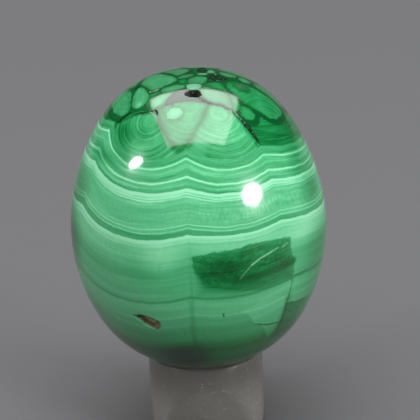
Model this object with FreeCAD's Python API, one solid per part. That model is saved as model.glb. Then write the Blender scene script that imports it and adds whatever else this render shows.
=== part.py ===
import FreeCAD
import Part
import math
import os

# Decorative egg of banded green stone that rests on a short ring of clear tube.
# The egg is one polished stone. Two small open pits in it hold crusts of darker minerals:
# one in the lower left of the front, and one just in front of the upper pole.
# Millimetres. +Z is up, the front is -Y, and the origin is the centre of the ring's
# lower face, where the stand rests.

# Stand: a length of clear tube with one sloped edge for the egg
tube_diameter = 20.0
tube_wall = 2.5
tube_height = 15.0
tube_edge_round = 0.3
seat_width = 0.8
seat_clearance = 0.1

# Egg: its widest diameter, its height, and the two shares that make the oval an egg
egg_diameter = 43.5
egg_height = 51.4
egg_taper_share = -0.125
egg_blunt_share = 0.42
egg_zones = 6
zone_spans = 4

# Pit low on the front, left of the middle, with its crust
pit_width = 4.8
pit_length = 2.8
pit_depth = 1.2
pit_crust_thickness = 0.4
pit_azimuth = -26.8
pit_height_share = -0.397
pit_floor_share = 0.6
pit_outline_shares = [
    (-0.50, 0.30),
    (-0.18, 0.46),
    (0.22, 0.34),
    (0.50, 0.05),
    (0.42, -0.42),
    (0.12, -0.50),
    (-0.22, -0.12),
]

# Cavity by the upper pole, with its crust
vug_width = 2.7
vug_length = 2.0
vug_depth = 1.5
vug_crust_thickness = 0.45
vug_azimuth = 1.8
vug_height_share = 0.96
vug_floor_share = 0.55
vug_outline_shares = [
    (-0.50, -0.05),
    (-0.28, 0.42),
    (0.12, 0.50),
    (0.44, 0.20),
    (0.50, -0.36),
    (0.14, -0.48),
    (-0.30, -0.38),
]

# How far a cutting solid stands out of what it cuts
cut_overrun = 0.5

# Sizes that follow from the ones above
egg_half_height = egg_height / 2
bore_radius = tube_diameter / 2 - tube_wall
seat_radius = bore_radius + seat_width / 2


def swell(share):
    """How much fuller than an ellipse the egg is at a height share, -1 at the foot to 1 at the top."""
    return 1 + egg_taper_share * share + egg_blunt_share * share**4


def swell_rate(share):
    """Growth of the swell with the height share."""
    return egg_taper_share + 4 * egg_blunt_share * share**3


def halved(low, high, is_low):
    """The value between low and high where is_low stops being true."""
    for _ in range(60):
        middle = (low + high) / 2
        if is_low(middle):
            low = middle
        else:
            high = middle
    return (low + high) / 2


def unscaled_point(angle):
    """Radius and height shares of the egg's outline at an angle, 0 at the foot to pi at the top."""
    share = -math.cos(angle)
    return math.sin(angle) * math.sqrt(swell(share)), share


def unscaled_rate(angle):
    """Growth of the two shares of unscaled_point with the angle."""
    share = -math.cos(angle)
    root = math.sqrt(swell(share))
    radius_rate = math.cos(angle) * root + math.sin(angle) ** 2 * swell_rate(share) / (2 * root)
    return radius_rate, math.sin(angle)


def widest_angle():
    """Angle of the outline where the egg is widest."""
    return halved(math.pi / 3, 2 * math.pi / 3, lambda angle: unscaled_rate(angle)[0] > 0)


def radius_scale():
    """Length of one radius share, so that the egg's widest diameter is as named."""
    return egg_diameter / 2 / unscaled_point(widest_angle())[0]


def outline_point(angle):
    """Radius and height of the outline above the middle of the egg's axis."""
    radius_share, share = unscaled_point(angle)
    return FreeCAD.Vector(radius_scale() * radius_share, 0, egg_half_height * share)


def outline_rate(angle):
    """Growth of outline_point with the angle."""
    radius_rate, share_rate = unscaled_rate(angle)
    return FreeCAD.Vector(radius_scale() * radius_rate, 0, egg_half_height * share_rate)


def seat_angle():
    """Angle of the outline in the egg's lower half where it has the seat's radius."""
    return halved(0, widest_angle(), lambda angle: outline_point(angle).x < seat_radius)


def seat_slope():
    """Rise of the seat per millimetre outwards, along the egg's own surface there."""
    rate = outline_rate(seat_angle())
    return rate.z / rate.x


def seat_drop():
    """Height of the sloped seat."""
    return seat_width * seat_slope()


def egg_centre():
    """Middle of the egg's axis, with the egg lowered onto its seat."""
    upright_gap = seat_clearance * math.sqrt(1 + seat_slope() ** 2)
    seat_middle = tube_height - seat_drop() / 2
    return FreeCAD.Vector(0, 0, seat_middle + upright_gap - outline_point(seat_angle()).z)


def outline_zone(zone):
    """One smooth stretch of the egg's outline, from the foot up."""
    zone_angle = math.pi / egg_zones
    angles = [zone_angle * (zone + step / zone_spans) for step in range(zone_spans + 1)]
    points = [egg_centre() + outline_point(angle) for angle in angles]
    curve = Part.BSplineCurve()
    curve.interpolate(
        Points=points,
        Parameters=angles,
        InitialTangent=outline_rate(angles[0]),
        FinalTangent=outline_rate(angles[-1]),
        Scale=False,
    )
    return curve.toShape()


def egg_blank():
    """The egg as a full solid of revolution, in a front and a back half joined at the sides."""
    stretches = [outline_zone(zone) for zone in range(egg_zones)]
    half_height = FreeCAD.Vector(0, 0, egg_half_height)
    axis_line = Part.makeLine(egg_centre() + half_height, egg_centre() - half_height)
    half_section = Part.Face(Part.Wire(stretches + [axis_line]))
    foot = FreeCAD.Vector(0, 0, 0)
    up = FreeCAD.Vector(0, 0, 1)
    front_half = half_section.revolve(foot, up, -180)
    back_half = half_section.revolve(foot, up, 180)
    return front_half.fuse(back_half)


def surface_place(azimuth, height_share):
    """A point of the egg's surface, with its outward, sideways and upward directions."""
    turn = math.radians(azimuth)
    away = FreeCAD.Vector(math.sin(turn), -math.cos(turn), 0)
    sideways = FreeCAD.Vector(math.cos(turn), math.sin(turn), 0)
    rise = FreeCAD.Vector(0, 0, 1)
    angle = math.acos(-height_share)
    point = outline_point(angle)
    rate = outline_rate(angle)
    upward = (away * rate.x + rise * rate.z).normalize()
    outward = (away * rate.z - rise * rate.x).normalize()
    return egg_centre() + away * point.x + rise * point.z, outward, sideways, upward


def pit_ring(place, outline_shares, width, length, level, scale_share):
    """Closed outline of a pit at one level, above the surface if level is above zero."""
    point, outward, sideways, upward = place
    middle = point + outward * level
    points = []
    for across_share, along_share in outline_shares:
        across = sideways * (width * scale_share * across_share)
        along = upward * (length * scale_share * along_share)
        points.append(middle + across + along)
    curve = Part.BSplineCurve()
    curve.interpolate(Points=points, PeriodicFlag=True)
    return Part.Wire([curve.toShape()])


def pit_solids(place, outline_shares, width, length, depth, crust_thickness, floor_share):
    """The open space of a pit and the crust that fills its floor, one on top of the other."""

    def ring_at(level):
        scale_share = 1 + (1 - floor_share) * level / depth
        return pit_ring(place, outline_shares, width, length, level, scale_share)

    mouth = ring_at(cut_overrun)
    crust_top = ring_at(crust_thickness - depth)
    floor = ring_at(-depth)
    space = Part.makeLoft([mouth, crust_top], True, True)
    crust = Part.makeLoft([crust_top, floor], True, True)
    return space, crust


def front_pit():
    """Open space and crust of the pit low on the front."""
    place = surface_place(pit_azimuth, pit_height_share)
    return pit_solids(
        place,
        pit_outline_shares,
        pit_width,
        pit_length,
        pit_depth,
        pit_crust_thickness,
        pit_floor_share,
    )


def top_vug():
    """Open space and crust of the cavity by the upper pole."""
    place = surface_place(vug_azimuth, vug_height_share)
    return pit_solids(
        place,
        vug_outline_shares,
        vug_width,
        vug_length,
        vug_depth,
        vug_crust_thickness,
        vug_floor_share,
    )


def stand_ring():
    """Length of clear tube with rounded outer edges and a sloped seat inside its upper edge."""
    ring = Part.makeCylinder(tube_diameter / 2, tube_height)
    outer_edges = [edge for edge in ring.Edges if edge.Closed and isinstance(edge.Curve, Part.Circle)]
    ring = ring.makeFillet(tube_edge_round, outer_edges)
    bore_start = FreeCAD.Vector(0, 0, -cut_overrun)
    bore = Part.makeCylinder(bore_radius, tube_height + 2 * cut_overrun, bore_start)
    seat_start = FreeCAD.Vector(0, 0, tube_height - seat_drop())
    seat_top_radius = bore_radius + seat_width
    overrun_growth = cut_overrun / seat_slope()
    seat = Part.makeCone(
        bore_radius,
        seat_top_radius + overrun_growth,
        seat_drop() + cut_overrun,
        seat_start,
    )
    return ring.cut(bore).cut(seat)


def write(name, shape):
    """Write one named sub-part, a single solid, as its own STEP file."""
    solid, = shape.Solids
    print(name, round(solid.Volume, 3), "mm3, valid:", solid.isValid())
    solid.exportStep("parts/" + name + ".step")


os.makedirs("parts", exist_ok=True)

pit_space, pit_crust = front_pit()
vug_space, vug_crust = top_vug()
egg = egg_blank()
for cutter in (pit_space, pit_crust, vug_space, vug_crust):
    egg = egg.cut(cutter)

write("stand_ring", stand_ring())
write("egg", egg)
write("pit_crust", pit_crust)
write("vug_crust", vug_crust)
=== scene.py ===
"""Looks for a polished egg of banded green stone on a short ring of clear tube."""

import logging
import math
from bisect import bisect_left
from collections.abc import Iterator
from dataclasses import dataclass, field, replace
from enum import Enum

import bmesh
import bpy
from mathutils import Matrix, Vector, noise


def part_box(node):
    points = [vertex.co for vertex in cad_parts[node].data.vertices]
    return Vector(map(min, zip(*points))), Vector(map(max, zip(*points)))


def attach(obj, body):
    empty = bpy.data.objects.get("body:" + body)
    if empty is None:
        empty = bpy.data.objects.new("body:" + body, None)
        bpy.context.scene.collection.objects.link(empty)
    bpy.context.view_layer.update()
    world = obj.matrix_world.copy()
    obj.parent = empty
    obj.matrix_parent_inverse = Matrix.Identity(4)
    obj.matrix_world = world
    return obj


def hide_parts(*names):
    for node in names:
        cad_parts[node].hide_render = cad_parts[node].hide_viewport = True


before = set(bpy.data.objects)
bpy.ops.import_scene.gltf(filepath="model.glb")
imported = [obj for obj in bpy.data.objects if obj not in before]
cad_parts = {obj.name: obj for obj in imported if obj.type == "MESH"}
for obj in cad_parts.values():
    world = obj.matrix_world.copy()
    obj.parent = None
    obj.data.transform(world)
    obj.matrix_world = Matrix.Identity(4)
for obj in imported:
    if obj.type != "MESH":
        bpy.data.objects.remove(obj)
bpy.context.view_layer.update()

log = logging.getLogger("egg")

MM = 0.001
Pair = tuple[float, float]
Triple = tuple[float, float, float]
Box = tuple[Pair, Pair]
Outline = tuple[Pair, ...]
Colour = tuple[float, ...]
Stops = tuple[tuple[float, Colour], ...]

# Lengths from here on are millimetres, unless a comment says otherwise

# Stands for a distance far outside an outline
FAR_OUTSIDE = -9.0

# Steps in which the egg's outline is followed, and searched for its widest place
TRACE_STEPS = 6000
SEARCH_STEPS = 4000

# Steps for each corner of an outline, and how far round it its distance still counts
NODULE_STEPS, NODULE_MARGIN = 4, 1.2
GAP_STEPS, GAP_MARGIN = 3, 0.6
AREA_MARGIN = 2.0
TRAIL_MARGIN = 0.4

# How near the top pole the trails and gaps of the cap lie, and its soft places
CAP_TRAILS_REACH = 20.0
CAP_BLOTS_REACH = 24.0

# The mesh is finer up to this place behind the axis, round hollows by a share of their size,
# and round trails and gaps by these distances
FINE_BEHIND = 8.0
FINE_HOLLOW_SHARE = 0.62
FINE_TRAIL = 0.3
FINE_GAP = 0.25

# Height share from which a place counts as near a pole
POLES_SHARE = 0.75

# A crevice's depth, how far outside its outline it starts and how far in it is full
CREVICE_DEPTH = 0.08
CREVICE_START = 0.05
CREVICE_SLOPE = 0.25

# How much steeper a hollow's walls are than its solid's, the depth from which it has its wall
# colour alone (brown in the front pit, painted shade in the top vug), and how much narrower than
# the hollow its crust is
WALL_STEEPNESS = 1.15
HOLLOW_COLOUR_DEPTH = 0.25
CRUST_FIT = 0.99

# The camera's sensor, and the width of the picture that its aim is given in
SENSOR_MM = 36.0
PICTURE_PIXELS = 420


# Colours, written as they look on a screen


def seen(red: int, green: int, blue: int) -> Colour:
    """Turn a colour as it looks on a screen into the linear colour that a shader takes.

    Args:
        red: Red from 0 to 255.
        green: Green from 0 to 255.
        blue: Blue from 0 to 255.

    Returns:
        The linear colour with an alpha of 1.
    """

    def linear(value: int) -> float:
        """Undo the screen curve for one channel."""
        share = value / 255
        return share / 12.92 if share <= 0.04045 else ((share + 0.055) / 1.055) ** 2.4

    return linear(red), linear(green), linear(blue), 1.0


# Shader graphs


Socket = bpy.types.NodeSocket
Feed = Socket | float | Colour | None


@dataclass
class Graph:
    """Adds nodes to one node tree and joins them up.

    Args:
        tree: The node tree of a material, a world or a group.
    """

    tree: bpy.types.NodeTree

    def node(self, kind: str, **settings: object) -> bpy.types.Node:
        """Add one node and set its named properties."""
        made = self.tree.nodes.new("ShaderNode" + kind)
        for name, value in settings.items():
            setattr(made, name, value)
        return made

    def feed(self, socket: Socket, value: Feed) -> None:
        """Give a socket a link or a fixed value; None leaves it alone."""
        if value is None:
            return
        if isinstance(value, bpy.types.NodeSocket):
            self.tree.links.new(value, socket)
        else:
            socket.default_value = value

    def fill(self, node: bpy.types.Node, **entries: Feed) -> None:
        """Give inputs of a node their values by name, with underscores for blanks."""
        for name, value in entries.items():
            self.feed(node.inputs[name.replace("_", " ")], value)

    def math(self, operation: str, first: Feed, second: Feed = None, clamp: bool = False) -> Socket:
        """Add a Math node and return its result."""
        made = self.node("Math", operation=operation, use_clamp=clamp)
        for socket, value in zip(made.inputs, (first, second)):
            self.feed(socket, value)
        return made.outputs[0]

    def add(self, *values: Feed) -> Socket:
        """Add up two or more values."""
        total = values[0]
        for value in values[1:]:
            total = self.math("ADD", total, value)
        return total

    def times(self, *values: Feed) -> Socket:
        """Multiply two or more values."""
        total = values[0]
        for value in values[1:]:
            total = self.math("MULTIPLY", total, value)
        return total

    def swing(self, noise_value: Feed, amount: Feed) -> Socket:
        """Turn soft noise around 0.5 into a swing around 0, as wide as an amount."""
        return self.times(self.add(noise_value, -0.5), amount)

    def rise(
        self, value: Feed, low: float, high: float, to_low: float = 0.0, to_high: float = 1.0
    ) -> Socket:
        """Ease a value from one level to another as it passes from low to high."""
        made = self.node("MapRange", interpolation_type="SMOOTHSTEP")
        self.fill(made, Value=value, From_Min=low, From_Max=high, To_Min=to_low, To_Max=to_high)
        return made.outputs[0]

    def mixed(self, share: Feed, first: Feed, second: Feed) -> Socket:
        """Mix two plain values."""
        made = self.node("Mix", data_type="FLOAT")
        for index, entry in ((0, share), (2, first), (3, second)):
            self.feed(made.inputs[index], entry)
        return made.outputs[0]

    def tinted(self, share: Feed, first: Feed, second: Feed) -> Socket:
        """Mix two colours."""
        made = self.node("Mix", data_type="RGBA")
        for index, entry in ((0, share), (6, first), (7, second)):
            self.feed(made.inputs[index], entry)
        return made.outputs[2]

    def field(self, name: str) -> Socket:
        """Read a number that the mesh carries at its points."""
        return self.node("Attribute", attribute_name=name).outputs["Fac"]

    def place(self) -> Socket:
        """Read the place on the piece, in millimetres."""
        made = self.node("VectorMath", operation="SCALE")
        self.fill(made, Vector=self.node("TexCoord").outputs["Object"], Scale=1 / MM)
        return made.outputs[0]

    def parts(self, place: Feed) -> tuple[Socket, ...]:
        """Split a place into how far right, back and up it lies."""
        made = self.node("SeparateXYZ")
        self.feed(made.inputs[0], place)
        return tuple(made.outputs)

    def layered(self, depth: Feed, right: Feed, back: Feed, drift: float) -> Socket:
        """Make a place for noise in layers: a depth, and a small share of the real place."""
        made = self.node("CombineXYZ")
        entries = (depth, self.times(right, drift), self.times(back, drift))
        for socket, entry in zip(made.inputs, entries):
            self.feed(socket, entry)
        return made.outputs[0]

    def stretched(
        self, place: Feed, across: float, along: float, up: float, tilt: float = 0.0
    ) -> Socket:
        """Stretch a place by a factor on each axis, and tilt it sideways by some degrees."""
        made = self.node("Mapping", vector_type="POINT")
        turn = (0, math.radians(tilt), 0)
        self.fill(made, Vector=place, Rotation=turn, Scale=(across, along, up))
        return made.outputs[0]

    def speckle(self, place: Feed, scale: float, detail: float = 2.0, rough: float = 0.5) -> Socket:
        """Read soft noise around 0.5 at a place."""
        made = self.node("TexNoise", noise_dimensions="3D")
        self.fill(made, Vector=place, Scale=scale, Detail=detail, Roughness=rough)
        return made.outputs["Fac"]

    def cells(self, place: Feed, scale: Feed) -> bpy.types.Node:
        """Add a cell pattern at a place."""
        made = self.node("TexVoronoi")
        self.fill(made, Vector=place, Scale=scale)
        return made

    def ramp(self, value: Feed, stops: Stops, low: float, high: float) -> Socket:
        """Look a value up in a ramp of colours between low and high.

        Args:
            value: What is looked up.
            stops: Values and their colours, in rising order, at most 32.
            low: Value at the ramp's start.
            high: Value at the ramp's end.

        Returns:
            The colour found.
        """
        share = self.math("DIVIDE", self.math("SUBTRACT", value, low), high - low, clamp=True)
        made = self.node("ValToRGB")
        self.feed(made.inputs[0], share)
        elements = made.color_ramp.elements
        elements.remove(elements[1])
        for count, (level, colour) in enumerate(stops):
            position = (level - low) / (high - low)
            element = elements[0] if count == 0 else elements.new(position)
            element.position = position
            element.color = colour
        return made.outputs[0]

    def tones(self, value: Feed, stops: Outline) -> Socket:
        """Look a value up in a ramp of plain tones from 0 to 1."""
        greys = tuple((level, (tone, tone, tone, 1.0)) for level, tone in stops)
        return self.ramp(value, greys, stops[0][0], stops[-1][0])

    def bump(self, height: Feed, depth_mm: float, normal: Feed = None) -> Socket:
        """Turn a height from 0 to 1 into a normal, for relief of a depth in millimetres."""
        made = self.node("Bump")
        self.fill(made, Strength=1.0, Distance=depth_mm * MM, Height=height, Normal=normal)
        return made.outputs[0]


def new_material(name: str) -> tuple[bpy.types.Material, Graph, bpy.types.Node]:
    """Make a material and return it with its graph and its Principled shader."""
    material = bpy.data.materials.new(name)
    material.use_nodes = True
    shader = material.node_tree.nodes["Principled BSDF"]
    return material, Graph(material.node_tree), shader


def new_group(
    name: str, number: str, start: float, outputs: tuple[str, ...]
) -> tuple[Graph, bpy.types.Node, bpy.types.Node]:
    """Start a shader node group that takes a place and one number.

    Args:
        name: The group's name.
        number: Name of its number.
        start: Starting value of its number.
        outputs: Names of its plain outputs.

    Returns:
        The group's graph, and its input and output nodes.
    """
    tree = bpy.data.node_groups.new(name, "ShaderNodeTree")
    tree.interface.new_socket("Place", in_out="INPUT", socket_type="NodeSocketVector")
    socket = tree.interface.new_socket(number, in_out="INPUT", socket_type="NodeSocketFloat")
    socket.default_value = start
    for entry in outputs:
        tree.interface.new_socket(entry, in_out="OUTPUT", socket_type="NodeSocketFloat")
    return Graph(tree), tree.nodes.new("NodeGroupInput"), tree.nodes.new("NodeGroupOutput")


class SharedEffects:
    """Node groups that more than one finish uses, each built once."""

    def __init__(self) -> None:
        """Build every group."""
        self.handling = self._handling()
        self.mineral_grain = self._mineral_grain()

    @staticmethod
    def _handling() -> bpy.types.NodeTree:
        """Smudges and hair-fine scratches that a polished thing gets in the hand."""
        outputs = ("Smudge", "Scratch")
        graph, source, target = new_group("handling_marks", "Scratches", 1.0, outputs)
        place = source.outputs["Place"]
        smudge = graph.rise(graph.speckle(place, 0.16, 3.0, 0.6), 0.42, 0.72)
        swirl = graph.speckle(graph.stretched(place, 0.5, 6.0, 2.2), 1.0, 3.0, 0.6)
        cross = graph.speckle(graph.stretched(place, 5.0, 0.7, 3.0), 1.0, 3.0, 0.6)
        lines = graph.math("MAXIMUM", graph.rise(swirl, 0.66, 0.74), graph.rise(cross, 0.67, 0.75))
        graph.fill(target, Smudge=smudge, Scratch=graph.times(lines, source.outputs["Scratches"]))
        return graph.tree

    @staticmethod
    def _mineral_grain() -> bpy.types.NodeTree:
        """Grains of a rough mineral: a height and a shade that changes from grain to grain."""
        outputs = ("Height", "Shade")
        graph, source, target = new_group("mineral_grain", "Grains per mm", 4.0, outputs)
        place = source.outputs["Place"]
        grains = graph.cells(place, source.outputs["Grains per mm"])
        soft = graph.speckle(place, 2.2, 4.0, 0.65)
        height = graph.add(graph.times(grains.outputs["Distance"], 0.6), graph.times(soft, 0.5))
        split = graph.node("SeparateColor")
        graph.feed(split.inputs[0], grains.outputs["Color"])
        graph.fill(target, Height=height, Shade=graph.mixed(0.5, split.outputs[0], soft))
        return graph.tree

    @staticmethod
    def use(graph: Graph, tree: bpy.types.NodeTree, **values: Feed) -> bpy.types.Node:
        """Place a group in a material and give its inputs their values."""
        made = graph.node("Group", node_tree=tree)
        graph.fill(made, **values)
        return made


# The egg's outline


def read_off(path: list[Triple], order: list[float], value: float) -> Triple:
    """Read a path of points at a value of the rising list that goes with it."""
    upper = min(max(bisect_left(order, value), 1), len(order) - 1)
    share = (value - order[upper - 1]) / max(1e-12, order[upper] - order[upper - 1])
    share = min(1.0, max(0.0, share))
    return tuple(low + (high - low) * share for low, high in zip(path[upper - 1], path[upper]))


@dataclass(frozen=True)
class EggOutline:
    """The egg's outline, in millimetres from the middle of its axis.

    Args:
        diameter: Widest diameter.
        height: Height over all.
        taper: How much fuller the lower half is than the upper one.
        blunt: How much blunter both ends are than an ellipse's.
        rows: Rows of faces from pole to pole.
        cap_rows: How many of the rows lie close together in the cap.
        cap_reach: Distance from the top pole, along the surface, that the close rows cover.
    """

    diameter: float = 43.5
    height: float = 51.4
    taper: float = -0.125
    blunt: float = 0.42
    rows: int = 264
    cap_rows: int = 118
    cap_reach: float = 24.0
    path: list[Triple] = field(default_factory=list)

    def fullness(self, share: float) -> float:
        """Radius share at a height share from -1 to 1, before it is scaled to the diameter."""
        swell = 1 + self.taper * share + self.blunt * share**4
        return math.sqrt(max(0.0, (1 - share * share) * swell))

    def scale(self) -> float:
        """Length of one radius share."""
        shares = (step / SEARCH_STEPS - 0.5 for step in range(SEARCH_STEPS + 1))
        return self.diameter / 2 / max(self.fullness(share) for share in shares)

    def trace(self) -> None:
        """Note height, radius and distance from the top pole at many steps of the outline."""
        unit = self.scale()
        walked = 0.0
        last: Pair | None = None
        for step in range(TRACE_STEPS + 1):
            share = math.cos(math.pi * step / TRACE_STEPS)
            here = (self.height / 2 * share, unit * self.fullness(share))
            if last is not None:
                walked += math.dist(here, last)
            self.path.append((here[0], here[1], walked))
            last = here

    def row_points(self) -> list[Triple]:
        """Height, radius and distance of every row, from the top pole down."""
        order = [entry[2] for entry in self.path]
        total = order[-1]
        spans = [self.cap_reach * row / self.cap_rows for row in range(self.cap_rows)]
        rest = self.rows - self.cap_rows
        spans += [self.cap_reach + (total - self.cap_reach) * row / rest for row in range(rest + 1)]
        return [read_off(self.path, order, span) for span in spans]


# How the stone grew: lines round the egg, and nodules in its cap


@dataclass(frozen=True)
class GrowthLine:
    """A line that was once the growing surface: it hangs in a scallop between cusps.

    Args:
        level: How far the stone had grown at this line, in millimetres.
        heights: Height of the line above the egg's middle at each cusp.
        sags: How far the line hangs down in the scallop that starts at each cusp.
    """

    level: float
    heights: tuple[float, ...]
    sags: tuple[float, ...]

    def height(self, scallop: int, share: float) -> float:
        """Height of the line part of the way along a scallop."""
        start = self.heights[scallop]
        end = self.heights[(scallop + 1) % len(self.heights)]
        return start + (end - start) * share - 4 * self.sags[scallop] * share * (1 - share)


@dataclass(frozen=True)
class GrowthBands:
    """The growth level at any place of the surface, so that equal levels make the bands.

    Args:
        cusps: Azimuths where scallops meet, in degrees, 0 at the front and 90 at the right.
        lines: Growth lines from the lowest to the highest.
    """

    cusps: tuple[float, ...] = (-155, -110, -66, -5, 40, 125, 170)
    lines: tuple[GrowthLine, ...] = (
        GrowthLine(
            -5.1, (-4.6, -4.0, -4.5, -4.6, -4.5, -6.5, -5.2), (0.9, 0.6, 1.75, 0.65, 0.6, 0.8, 0.8)
        ),
        GrowthLine(
            5.1, (5.2, 6.2, 6.4, 5.6, 5.35, 2.0, 3.6), (1.2, 0.5, 1.8, 0.45, 0.95, 0.9, 0.9)
        ),
        GrowthLine(
            6.25, (6.8, 7.9, 8.3, 7.1, 6.7, 3.2, 4.9), (1.2, 0.6, 1.85, 0.75, 0.7, 0.9, 0.9)
        ),
        GrowthLine(
            11.6, (12.6, 13.6, 14.0, 12.9, 12.15, 8.5, 10.5), (1.2, 0.4, 1.55, 0.95, 0.8, 1.0, 1.0)
        ),
        GrowthLine(
            14.8, (16.3, 17.6, 18.7, 17.0, 15.7, 11.8, 13.8), (1.4, 0.5, 2.55, 1.5, 1.0, 1.2, 1.2)
        ),
    )

    def scallop(self, azimuth: float) -> tuple[int, float]:
        """Find the scallop that an azimuth lies in, and how far along it."""
        turned = (azimuth - self.cusps[0]) % 360 + self.cusps[0]
        ends = self.cusps[1:] + (self.cusps[0] + 360,)
        index = min(bisect_left(ends, turned), len(ends) - 1)
        start = self.cusps[index]
        return index, (turned - start) / (ends[index] - start)

    def level(self, azimuth: float, height: float, reach: float, top_reach: list[Pair]) -> float:
        """Growth level at a place.

        Args:
            azimuth: Azimuth in degrees.
            height: Height above the egg's middle.
            reach: Distance from the top pole along the surface.
            top_reach: Falling heights, negated, with their distances from the top pole.

        Returns:
            The level in millimetres of growth.
        """
        index, share = self.scallop(azimuth)
        heights = [line.height(index, share) for line in self.lines]
        if height <= heights[0]:
            return self.lines[0].level + height - heights[0]
        for low, high, under, over in zip(self.lines, self.lines[1:], heights, heights[1:]):
            if height <= over:
                return low.level + (high.level - low.level) * (height - under) / (over - under)
        spot = min(max(bisect_left(top_reach, (-heights[-1], 0.0)), 1), len(top_reach) - 1)
        return self.lines[-1].level + top_reach[spot][1] - reach


def box_of(places: Outline, margin: float) -> Box:
    """Lowest and highest corner of the box round some flat places, with a margin."""
    across, up = zip(*places)
    return (min(across) - margin, min(up) - margin), (max(across) + margin, max(up) + margin)


def within(spot: Pair, box: Box) -> bool:
    """Whether a flat place lies in a box."""
    return box[0][0] < spot[0] < box[1][0] and box[0][1] < spot[1] < box[1][1]


def inside_distance(spot: Pair, corners: Outline) -> float:
    """Distance of a place inside an outline of straight runs, negative outside it."""
    nearest = 9999.0
    inside = False
    px, py = spot
    x0, y0 = corners[-1]
    for x1, y1 in corners:
        run_x, run_y = x1 - x0, y1 - y0
        share = ((px - x0) * run_x + (py - y0) * run_y) / (run_x * run_x + run_y * run_y)
        share = 0.0 if share < 0 else 1.0 if share > 1 else share
        gap_x, gap_y = px - x0 - share * run_x, py - y0 - share * run_y
        nearest = min(nearest, gap_x * gap_x + gap_y * gap_y)
        if (y0 > py) != (y1 > py) and px < x0 + run_x * (py - y0) / run_y:
            inside = not inside
        x0, y0 = x1, y1
    return math.sqrt(nearest) if inside else -math.sqrt(nearest)


def smooth_outline(corners: Outline, steps: int) -> Outline:
    """Turn corners into a smooth closed outline through them, with some steps for each."""
    count = len(corners)
    line = []
    for index in range(count):
        near = [corners[(index + shift) % count] for shift in (-1, 0, 1, 2)]
        for step in range(steps):
            t = step / steps
            weights = (
                -t + 2 * t * t - t**3,
                2 - 5 * t * t + 3 * t**3,
                t + 4 * t * t - 3 * t**3,
                t**3 - t * t,
            )
            sums = (sum(w * corner[axis] for w, corner in zip(weights, near)) for axis in (0, 1))
            line.append(tuple(0.5 * total for total in sums))
    return tuple(line)


@dataclass(frozen=True)
class Nodule:
    """One rounded body of ringed stone, seen in section on the cap.

    Places on the cap are millimetres of surface from the top pole, right and back.

    Args:
        corners: Places that its outline passes through.
        tone: How pale it is, 0 to 1.
        rings: How strong its rings are.
        core: Middle of its rings; without one they follow its outline.
        outline: How dark its outline is.
        grey: How grey and milky it is.
    """

    corners: Outline
    tone: float
    rings: float = 0.4
    core: Pair | None = None
    outline: float = 1.0
    grey: float = 0.0


# The cap's nodules; where two overlap, the later one lies in front

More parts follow.
